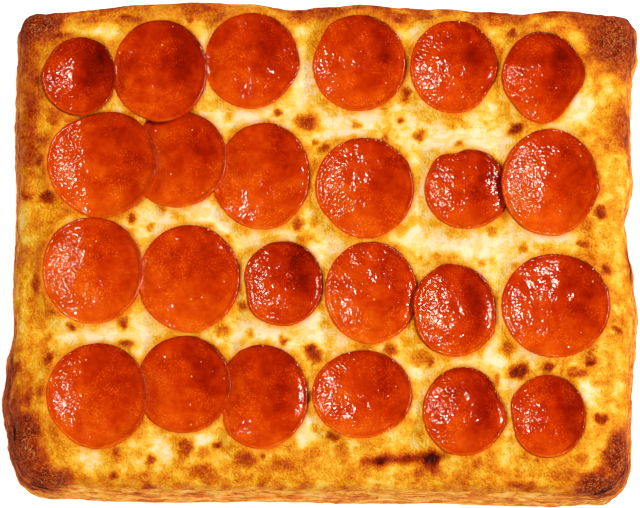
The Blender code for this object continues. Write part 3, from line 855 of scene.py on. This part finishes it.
BREAD_COLOURS = (
    (0.00, srgb(255, 216, 140)),
    (0.22, srgb(252, 184, 60)),
    (0.38, srgb(240, 144, 28)),
    (0.52, srgb(218, 106, 20)),
    (0.66, srgb(180, 68, 12)),
    (0.80, srgb(130, 40, 10)),
    (0.92, srgb(84, 24, 8)),
    (1.00, srgb(50, 14, 8)),
)

MEAT_COLOURS = (
    (0.00, srgb(250, 128, 24)),
    (0.25, srgb(230, 84, 5)),
    (0.48, srgb(202, 50, 0)),
    (0.68, srgb(164, 26, 0)),
    (0.86, srgb(118, 16, 0)),
    (1.00, srgb(70, 8, 1)),
)

FOLD_HIGHLIGHT_COLOUR = srgb(244, 164, 104)
STAIN_COLOUR = srgb(240, 136, 16)
FAT_COLOUR = srgb(250, 190, 110)


def new_material(name):
    """A material with its Principled shader: its node tree and that shader's sockets."""
    material = bpy.data.materials.new(name)
    material.use_nodes = True
    tree = material.node_tree
    return material, tree, tree.nodes["Principled BSDF"].inputs


def bump(tree, height, depth, strength=1.0):
    """The normal of a Bump node whose full height is this many millimetres."""
    return add_node(
        tree, "ShaderNodeBump", Height=height, Distance=depth * MM, Strength=strength
    ).outputs[0]


def baked_cheese_group(mottling, grain):
    """The baked cheese, on the bed and over the rim: its colour, and its relief in millimetres.

    The mottled browning gives the colour, with red oil in it beside the slices, painted highlights
    along the lines of the burnt corners' wrinkles and a little painted shade between them. The relief
    is grain, deeper where it is brown, with sharp wrinkles in the burnt corners.
    """
    tree, given, out = new_group(
        "Baked cheese",
        (
            ("Browning", "NodeSocketFloat", 0.3), ("Stain", "NodeSocketFloat", 0.0),
            ("Wrinkling", "NodeSocketFloat", 0.0),
        ),
        (
            ("Colour", "NodeSocketColor"), ("Browning", "NodeSocketFloat"),
            ("Height", "NodeSocketFloat"), ("Oil", "NodeSocketFloat"),
        ),
    )
    where = add_node(tree, "ShaderNodeTexCoord").outputs["Object"]
    folds = speckle(tree, where, FOLD_SIZE, 2.0)
    from_line = calculate(tree, "ABSOLUTE", calculate(tree, "SUBTRACT", folds, 0.5))
    fold = remap(tree, from_line, 0.008, 0.042)
    # Painted highlight on the wrinkles' lines and a little painted shade in the hollows between them
    between = calculate(tree, "MULTIPLY_ADD", fold, 0.24, -0.18)
    fully = calculate(tree, "MULTIPLY", given["Wrinkling"], given["Wrinkling"])
    darkened = calculate(tree, "MULTIPLY_ADD", between, fully, given["Browning"])
    strength = calculate(tree, "MINIMUM", calculate(tree, "MULTIPLY_ADD", given["Browning"], 1.8, 0.45), 1.2)
    browning = use_group(tree, mottling, Browning=darkened, Strength=strength)[0]
    colour = ramp(tree, browning, CHEESE_COLOURS)
    # Painted highlight: the wrinkles' lines are blended towards a pale pinkish tan
    lit = calculate(tree, "MULTIPLY", calculate(tree, "SUBTRACT", 1.0, fold), fully)
    colour = blend_colours(tree, calculate(tree, "MULTIPLY", lit, 0.6), colour, FOLD_HIGHLIGHT_COLOUR)
    share = calculate(tree, "MULTIPLY", given["Stain"], 0.65)
    colour = blend_colours(tree, share, colour, STAIN_COLOUR)
    grains = use_group(tree, grain, Size=CHEESE_GRAIN, Fineness=0.7)[0]
    depth = calculate(tree, "MULTIPLY_ADD", given["Browning"], 0.9, 0.16)
    height = calculate(tree, "MULTIPLY", grains, depth)
    folded = calculate(tree, "MULTIPLY", given["Wrinkling"], -FOLD_DEPTH)
    height = calculate(tree, "MULTIPLY_ADD", fold, folded, height)
    oil = remap(tree, speckle(tree, where, OIL_PATCH_SIZE, 1.0), 0.42, 0.6, 0.2, 1.0)
    tree.links.new(colour, out.inputs["Colour"])
    tree.links.new(browning, out.inputs["Browning"])
    tree.links.new(height, out.inputs["Height"])
    oily = calculate(tree, "MULTIPLY", oil, remap(tree, given["Browning"], 0.1, 0.4, 0.15, 1.0))
    tree.links.new(calculate(tree, "MAXIMUM", oily, fully), out.inputs["Oil"])
    return tree


def use_baked_cheese(tree, group):
    """That group's outputs, fed with the mesh's own values."""
    return use_group(
        tree, group, Browning=attribute(tree, "browning"), Stain=attribute(tree, "stain"),
        Wrinkling=attribute(tree, "wrinkling"),
    )


def oiled_roughness(tree, oil):
    """How rough the surface is under this much oil, from 0 to 1."""
    return remap(tree, oil, 0.0, 1.0, DRY_ROUGHNESS, OIL_ROUGHNESS)


def cheese_material(baked):
    """Melted cheese: cream to gold to brown by its browning, under a film of oil."""
    material, tree, shader = new_material("melted cheese")
    colour, _, height, oil = use_baked_cheese(tree, baked)
    tree.links.new(colour, shader["Base Color"])
    tree.links.new(bump(tree, height, 1.0), shader["Normal"])
    oily = calculate(tree, "MULTIPLY", oil, attribute(tree, "film"))
    tree.links.new(oiled_roughness(tree, oily), shader["Roughness"])
    shader["Specular IOR Level"].default_value = BAKED_SHINE
    shader["Subsurface Weight"].default_value = 0.15
    shader["Subsurface Radius"].default_value = (1.0, 0.5, 0.15)
    shader["Subsurface Scale"].default_value = 0.002
    return material


def crust_material(baked):
    """Baked bread, streaked along its wall, that turns to baked-on cheese over the rim."""
    material, tree, shader = new_material("baked bread")
    cheese, browning, height, oil = use_baked_cheese(tree, baked)
    where = add_node(tree, "ShaderNodeTexCoord").outputs["Object"]
    layered = add_node(tree, "ShaderNodeMapping", Vector=where, Scale=STREAK_SCALE).outputs[0]
    streak = add_node(
        tree, "ShaderNodeTexNoise", Vector=layered, Scale=1.0 / (STREAK_SIZE * MM), Detail=3.0,
        Roughness=0.6, Distortion=0.7,
    ).outputs[0]
    centred = calculate(tree, "SUBTRACT", streak, 0.5)
    streaked = calculate(tree, "MULTIPLY_ADD", centred, STREAK_CONTRAST, browning)
    bread = ramp(tree, streaked, BREAD_COLOURS)
    cheesed = attribute(tree, "cheesed")
    tree.links.new(blend_colours(tree, cheesed, bread, cheese), shader["Base Color"])
    uncheesed = calculate(tree, "SUBTRACT", 1.0, cheesed)
    depth = calculate(tree, "MULTIPLY", uncheesed, STREAK_DEPTH)
    ridge = calculate(tree, "MULTIPLY", streak, depth)
    tree.links.new(bump(tree, calculate(tree, "ADD", ridge, height), 1.0), shader["Normal"])
    oily = calculate(tree, "MULTIPLY", cheesed, oil)
    tree.links.new(oiled_roughness(tree, oily), shader["Roughness"])
    shader["Specular IOR Level"].default_value = BAKED_SHINE
    return material


def pepperoni_material(grain):
    """Cured sausage: orange to dark red, oily, pebbled, with pale flecks of fat."""
    material, tree, shader = new_material("cured sausage")
    where = add_node(tree, "ShaderNodeTexCoord").outputs["Object"]
    pebbles = use_group(tree, grain, Size=PEBBLE_SIZE, Fineness=PEBBLE_FINENESS)[0]
    pebbles = calculate(tree, "SUBTRACT", pebbles, 0.5 + 0.5 * PEBBLE_FINENESS)
    # The pebbles' tops are made lighter and their hollows darker in colour: painted light and painted shade
    # on the relief
    total = calculate(tree, "MULTIPLY_ADD", pebbles, -0.08, attribute(tree, "tone_and_shade"))
    # Painted glints: small light orange dots, in groups, that lighten the colour
    glint_dots = remap(tree, speckle(tree, where, GLINT_DOT_SIZE, 0.0), 0.54, 0.7, 0.0, -0.26)
    glint_groups = remap(tree, speckle(tree, where, GLINT_GROUP_SIZE, 1.0), 0.4, 0.6)
    total = calculate(tree, "MULTIPLY_ADD", glint_dots, glint_groups, total)
    for size, amount in BLOTCHES:
        centred = calculate(tree, "SUBTRACT", speckle(tree, where, size), 0.5)
        total = calculate(tree, "MULTIPLY_ADD", centred, amount, total)
    colour = ramp(tree, total, MEAT_COLOURS)
    cells = add_node(tree, "ShaderNodeTexVoronoi", Vector=where, Scale=1.0 / (FAT_SPACING * MM))
    small = calculate(tree, "LESS_THAN", cells.outputs["Distance"], FAT_SIZE)
    chosen = add_node(tree, "ShaderNodeSeparateColor", Color=cells.outputs["Color"]).outputs[0]
    fat = calculate(tree, "MULTIPLY", small, calculate(tree, "GREATER_THAN", chosen, FAT_RARITY))
    colour = blend_colours(tree, calculate(tree, "MULTIPLY", fat, 0.8), colour, FAT_COLOUR)
    tree.links.new(colour, shader["Base Color"])
    oil = attribute(tree, "oil")
    patch = calculate(tree, "MULTIPLY", oil, speckle(tree, where, MEAT_OIL_SIZE, 3.0, 0.6))
    wet = remap(tree, patch, 0.28, 0.48)
    tree.links.new(remap(tree, wet, 0.0, 1.0, *MEAT_ROUGHNESS), shader["Roughness"])
    depth = remap(tree, wet, 0.0, 1.0, *PEBBLE_DEPTH)
    tree.links.new(bump(tree, calculate(tree, "MULTIPLY", pebbles, depth), 1.0), shader["Normal"])
    shader["Specular IOR Level"].default_value = 0.5
    shader["Specular Tint"].default_value = (1.0, 0.88, 0.72, 1.0)
    return material


def new_piece(name, points, faces, values, material, node):
    """A closed surface in place: its faces, its values at each point, and what it stands for.

    faces is a list of whole-number arrays, each with one row of corners to a face. Points past the
    solids' box are moved back to just inside it.
    """
    low, high = np.array(CAD_BOX) / MM
    points = np.clip(points, low + (BOX_MARGIN, BOX_MARGIN, 0.0), high - BOX_MARGIN)
    mesh = bpy.data.meshes.new(name)
    mesh.from_pydata((points * MM).tolist(), [], [row for block in faces for row in block.tolist()])
    for label, value in values.items():
        layer = mesh.attributes.new(label, "FLOAT", "POINT")
        layer.data.foreach_set("value", np.ascontiguousarray(value, np.float32))
    mesh.materials.append(material)
    mesh.shade_smooth()
    piece = bpy.data.objects.new(name, mesh)
    bpy.context.scene.collection.objects.link(piece)
    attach(piece, "root")
    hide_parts(node)
    return piece


def loop_faces(rings, sides, first=0):
    """Four-cornered faces between rings of points that follow each other, each ring closed."""
    start = first + np.arange(rings - 1)[:, None] * sides
    here = np.arange(sides)[None, :]
    after = (here + 1) % sides
    quads = np.stack([start + here, start + after, start + sides + after, start + sides + here], -1)
    return quads.reshape(-1, 4)


def rounded_section():
    """The crust's section with its corners eased: a running mean along it, evenly spaced."""
    knots = np.array(SECTION)
    steps = np.hypot(np.diff(knots[:, 0]), np.diff(knots[:, 2]))
    length = np.concatenate([[0.0], np.cumsum(steps)])
    places = np.linspace(0.0, length[-1], SECTION_STEPS)
    window = np.linspace(-ROUNDING, ROUNDING, 9)
    sampled = np.clip(places[:, None] + window, 0.0, length[-1])
    return np.stack([np.interp(sampled, length, knots[:, i]).mean(axis=1) for i in range(3)], -1)


def surface_normals(grid):
    """Unit normals of a grid of closed rings: the ring's direction crossed with the way inwards."""
    along_ring = np.roll(grid, -1, axis=1) - np.roll(grid, 1, axis=1)
    across = np.gradient(grid, axis=0)
    normal = np.cross(along_ring, across)
    return normal / np.maximum(np.linalg.norm(normal, axis=-1, keepdims=True), 1e-9)


def make_crust(material, settled):
    """The bread: rings of points from the underside's middle, up the wall, over the rim and into
    the bed, each ring a rounded rectangle, with relief along the surface's normals.

    The wall has flat layers one above the other, lumps and pits, and more of them at the corners.
    From its shoulder inwards the rim has the topping's height.
    """
    rings, flats, insets = [], [], []
    for inset in UNDERSIDE_INSETS:
        loop = border_loop(inset)
        rings.append(with_height(wobbled(loop, 0.95), 0.0))
        flats.append(loop)
        insets.append(0.0)
    for inset, bulge_share, height in rounded_section():
        loop = border_loop(inset)
        lift = puff(loop) * min(height / CHEESE_LEVEL, 1.0) * smooth_step((4.8 - inset) / 4.8)
        rings.append(with_height(wobbled(loop, bulge_share), height + lift))
        flats.append(loop)
        insets.append(inset)
    grid, flat = np.array(rings), np.array(flats)
    baked, top_browning = topping(grid[..., :2], flat, settled)
    inset = np.array(insets)[:, None]
    topped = smooth_step((inset - 1.2) / 5.0) * (1.0 - smooth_step((inset - 12.0) / 5.0))
    level = CHEESE_LEVEL + RIM_RISE
    grid[..., 2] += (baked - level) * topped
    normal = surface_normals(grid)
    height = grid[..., 2].copy()
    on_wall = smooth_step((height - 0.5) / 3.0) * (1.0 - topped)
    layers = noise(grid / np.array([15.0, 15.0, 1.5]), 1.0, 21)
    wrinkled = wrinkling(flat)
    relief = on_wall * (0.30 * layers + lumps(grid, WALL_LUMPS) * (1.0 + 0.8 * wrinkled) - 0.5)
    relief -= 0.12 * (1.0 - smooth_step(height / 2.0)) * (1.0 + noise(grid, 4.0, 25))
    grid = grid + normal * relief[..., None]
    cheesed = smooth_step((height - CHEESED_FROM + lumps(grid, CHEESE_LINE)) / 2.0)
    browning = wall_browning(grid, normal)
    browning = browning + (top_browning - browning) * cheesed
    count = grid.shape[1]
    faces = [
        loop_faces(len(grid), count),
        np.arange(count)[::-1][None, :],
        ((len(grid) - 1) * count + np.arange(count))[None, :],
    ]
    values = {
        "browning": browning.ravel(), "cheesed": cheesed.ravel(), "stain": stain(flat).ravel(),
        "wrinkling": wrinkled.ravel(),
    }
    return new_piece("bread_crust", grid.reshape(-1, 3), faces, values, material, "crust")


def wall_browning(grid, normal):
    """How brown the bread is: each side has its own bake, and the foot and the burns are darker."""
    plan = grid[..., :2]
    length = np.maximum(np.linalg.norm(normal[..., :2], axis=-1, keepdims=True), 1e-6)
    facing = normal[..., :2] / length
    left, right = np.clip(-facing[..., 0], 0, 1) ** 2, np.clip(facing[..., 0], 0, 1) ** 2
    front, back = np.clip(-facing[..., 1], 0, 1) ** 2, np.clip(facing[..., 1], 0, 1) ** 2
    lower_left = smooth_step((-25.0 - plan[..., 1]) / 30.0)
    high = smooth_step((grid[..., 2] - 8.0) / 14.0)
    side = left * (0.34 + 0.24 * lower_left + 0.14 * high) + right * 0.35 + front * 0.30 + back * 0.50
    side = np.where(normal[..., 2] < -0.7, 0.42, side)
    browning = side + lumps(grid, WALL_PATCHES)
    browning += 0.14 * smooth_step((2.0 - grid[..., 2]) / 2.0) * (normal[..., 2] > -0.7)
    for spot, _ in spots(plan, BURNS, 2.0, 1.8):
        browning = browning + np.maximum(0.80 - browning, 0.0) * spot * high
    return browning


def make_cheese(material, settled):
    """The cheese: a grid on top at the topping's height, thin over the rim, and rings under it that
    follow the crust's bed."""
    flat = rounded(cheese_plan(), CHEESE_EDGE)
    plan = wobbled(flat)
    height, browning = topping(plan, flat, settled)
    top = with_height(plan, height + np.interp(depth_inside(flat) - CHEESE_EDGE, *zip(*CHEESE_THIN)))
    rows, columns = plan.shape[:2]
    numbers = np.arange(rows * columns).reshape(rows, columns)
    quads = np.stack([numbers[:-1, :-1], numbers[:-1, 1:], numbers[1:, 1:], numbers[1:, :-1]], -1)
    upper = border(numbers)
    count = len(upper)
    edge = border(height) - (CHEESE_LEVEL + RIM_RISE)
    under = []
    for inset, level in CHEESE_UNDER:
        loop = border_loop(inset)
        lift = edge * smooth_step((RIM_END - inset) / (RIM_END - CHEESE_EDGE))
        under.append(with_height(wobbled(loop), level + lift))
    first = rows * columns
    lower = first + np.arange(count)
    skirt = np.stack([lower, np.roll(lower, -1), np.roll(upper, -1), upper], -1)
    below = loop_faces(len(under), count, first)[:, ::-1]
    floor = (first + (len(under) - 1) * count + np.arange(count))[::-1][None, :]
    points = np.concatenate([top.reshape(-1, 3), *under])
    faces = [quads.reshape(-1, 4), skirt, below, floor]
    hidden = np.full(count * len(under), 0.3)
    film = smooth_step((depth_inside(flat) - CHEESE_EDGE - 2.4) / 2.4)
    values = {
        "browning": np.concatenate([browning.ravel(), hidden]),
        "stain": np.concatenate([stain(plan).ravel(), hidden]),
        "wrinkling": np.concatenate([wrinkling(flat).ravel(), hidden]),
        "film": np.concatenate([film.ravel(), hidden]),
    }
    return new_piece("melted_cheese", points, faces, values, material, "cheese")


def line_at(out, middle):
    """1 on this share of a slice's radius, fading in a bell to either side."""
    return np.exp(-(((out - middle) / LIP_WIDTH) ** 2))


def make_slice(piece, leans, material):
    """A slice: rings from the middle of its top, out over its rounded edge and back underneath.

    The top is the underside raised by the thickness, which thins towards the edge, with pebbles and
    a wavy lip. The edge is half an ellipse. The outline wanders a little from the solid's.
    """
    out = np.linspace(0.0, 1.0, SLICE_RINGS)[1:]
    turn = np.linspace(0.0, math.pi, 8)[1:-1]
    edge_round = SLICE_ROUNDING / piece.rx
    back = np.array([0.97, 0.9, 0.78, 0.6, 0.38, 0.18])
    shares = np.concatenate([out * (1.0 - edge_round), 1.0 - edge_round * (1.0 - np.sin(turn)), back])
    level = np.concatenate([np.ones(len(out)), 0.5 + 0.5 * np.cos(turn), np.zeros(len(back))])
    plan = slice_points(piece, shares, SLICE_SIDES)
    centre = np.array([piece.x, piece.y])
    ring = with_height(plan, piece.number * 50.0)
    wander = lumps(ring, SLICE_OUTLINE)
    plan = centre + (plan - centre) * (1.0 - OUTLINE_MARGIN + wander * (shares[:, None] ** 4))[..., None]
    outward = np.minimum(shares, 1.0)[:, None]
    thickness = SLICE_THICKNESS * (1.0 - 0.12 * outward**6)
    low = underside(piece, leans, plan)
    lip = LIP_HEIGHT * line_at(outward, LIP_AT) * (1.0 + lumps(ring, LIP_UNEVENNESS))
    groove = GROOVE_DEPTH * line_at(outward, GROOVE_AT)
    added = lumps(ring, SLICE_PEBBLES) * (1.0 - 0.6 * outward**10) + lip - groove
    height = low + (thickness + added) * level[:, None]
    points = with_height(plan, height)
    middles = []
    for extra in (SLICE_THICKNESS, 0.0):
        middles.append([piece.x, piece.y, float(underside(piece, leans, centre)) + extra])
    points = np.concatenate([points.reshape(-1, 3), np.array(middles)])
    rings, sides = plan.shape[:2]
    here = np.arange(sides)
    after = (here + 1) % sides
    top_middle, low_middle = rings * sides, rings * sides + 1
    last = (rings - 1) * sides
    faces = [
        loop_faces(rings, sides)[:, ::-1],
        np.stack([np.full(sides, top_middle), here, after], -1),
        np.stack([np.full(sides, low_middle), last + after, last + here], -1),
    ]
    tone_and_shade, oil = slice_values(piece, points, np.concatenate([np.repeat(shares, sides), [0.0, 0.0]]))
    return new_piece(
        f"slice_{piece.number:02d}", points, faces, {"tone_and_shade": tone_and_shade, "oil": oil}, material,
        f"pepperoni_{piece.number:02d}",
    )


def slice_values(piece, points, out):
    """A slice's darkness and oil at each point.

    It is darker in its upper right, partly its own deeper red and partly painted shade on the inner
    slope there that faces away from the key light. Along its very edge runs a line of painted shade,
    darkest at the upper right, that turns to painted light at the lower left, and it is painted darker
    towards the back and lighter at the front. Oil stands in patches, most on the left slope.
    """
    x, y = (points[:, 0] - piece.x) / piece.rx, (points[:, 1] - piece.y) / piece.ry
    # Painted shade, with some of the slice's own deeper red, on the inner slope of its upper right
    upper_right_tone_and_shade = np.exp(-(((x - 0.45) / 0.42) ** 2 + ((y - 0.15) / 0.75) ** 2))
    # The 0.12 * y term is painted shade towards the back and painted light at the front
    tone_and_shade = 0.29 + 0.30 * piece.dark + 0.30 * piece.dark**0.5 * upper_right_tone_and_shade + 0.12 * y
    # Painted shade along the very edge, darkest at the upper right, turning to painted light at the lower
    # left
    shaded = -0.5 + 1.5 * smooth_step(0.5 + 0.5 * x + 0.6 * y)
    tone_and_shade = tone_and_shade + 0.30 * shaded * line_at(out, 1.0)
    tone_and_shade += 0.08 * noise(points, 7.0, 46)
    oil = piece.oil * (0.55 + 0.45 * smooth_step((0.3 - x) / 1.0)) + 0.12 * noise(points, 6.0, 47)
    oil += 0.5 * line_at(out, LIP_AT) * smooth_step(0.3 + x + 0.5 * y)
    return tone_and_shade, oil


def area_light(name, position, size, power, colour, shines):
    """A square softbox at a position in metres, turned to the middle of the scene."""
    data = bpy.data.lights.new(name, "AREA")
    data.shape = "SQUARE"
    data.size = size
    data.energy = power
    data.color = colour
    lamp = bpy.data.objects.new(name, data)
    bpy.context.scene.collection.objects.link(lamp)
    lamp.location = position
    way = -np.array(position)
    flat = math.hypot(way[0], way[1])
    lamp.rotation_euler = (math.atan2(flat, -way[2]), 0.0, math.atan2(way[1], way[0]) - math.pi / 2)
    lamp.visible_glossy = shines


def make_studio():
    """A lit white table, a key light from the right and back, and soft light all round."""
    data = bpy.data.meshes.new("table")
    corners = [(-1, -1, 0), (1, -1, 0), (1, 1, 0), (-1, 1, 0)]
    data.from_pydata([(TABLE_REACH * x, TABLE_REACH * y, z) for x, y, z in corners], [], [(0, 1, 2, 3)])
    table = bpy.data.objects.new("table", data)
    table.location.z = -0.0002
    bpy.context.scene.collection.objects.link(table)
    material, _, shader = new_material("white table")
    shader["Base Color"].default_value = (TABLE_WHITE, TABLE_WHITE, TABLE_WHITE, 1.0)
    shader["Roughness"].default_value = 0.9
    shader["Emission Color"].default_value = (1.0, 1.0, 1.0, 1.0)
    shader["Emission Strength"].default_value = TABLE_GLOW
    data.materials.append(material)
    table.visible_glossy = False
    for lamp in LAMPS:
        area_light(*lamp)
    world = bpy.data.worlds.new("room")
    world.use_nodes = True
    world.node_tree.nodes["Background"].inputs[0].default_value = (*WARM, 1.0)
    world.node_tree.nodes["Background"].inputs[1].default_value = ROOM_LIGHT
    world.cycles_visibility.glossy = False
    bpy.context.scene.world = world
    bpy.context.scene.view_settings.view_transform = "Standard"


def make_camera():
    """The camera at the photograph's place: tilted from straight above, far off, with a long lens."""
    data = bpy.data.cameras.new("camera")
    data.sensor_width = SENSOR_WIDTH
    data.lens = PIXELS_PER_MM * VIEW_DISTANCE * SENSOR_WIDTH / PHOTO_WIDTH
    data.clip_end = 100.0
    camera = bpy.data.objects.new("camera", data)
    away = np.array([0.0, -math.sin(VIEW_TILT), math.cos(VIEW_TILT)]) * VIEW_DISTANCE
    camera.location = (LOOK_AT + away) * MM
    camera.rotation_euler = (VIEW_TILT, 0.0, 0.0)
    bpy.context.scene.collection.objects.link(camera)
    bpy.context.scene.camera = camera


def make_pizza():
    """The crust, the cheese and the slices, each slice settled on those under it."""
    settled = []
    for piece in SLICES:
        settled.append((piece, settle(piece, settled)))
    grain = grain_group()
    baked = baked_cheese_group(mottling_group(), grain)
    make_crust(crust_material(baked), settled)
    make_cheese(cheese_material(baked), settled)
    meat = pepperoni_material(grain)
    for piece, leans in settled:
        make_slice(piece, leans, meat)


make_camera()
make_studio()
make_pizza()
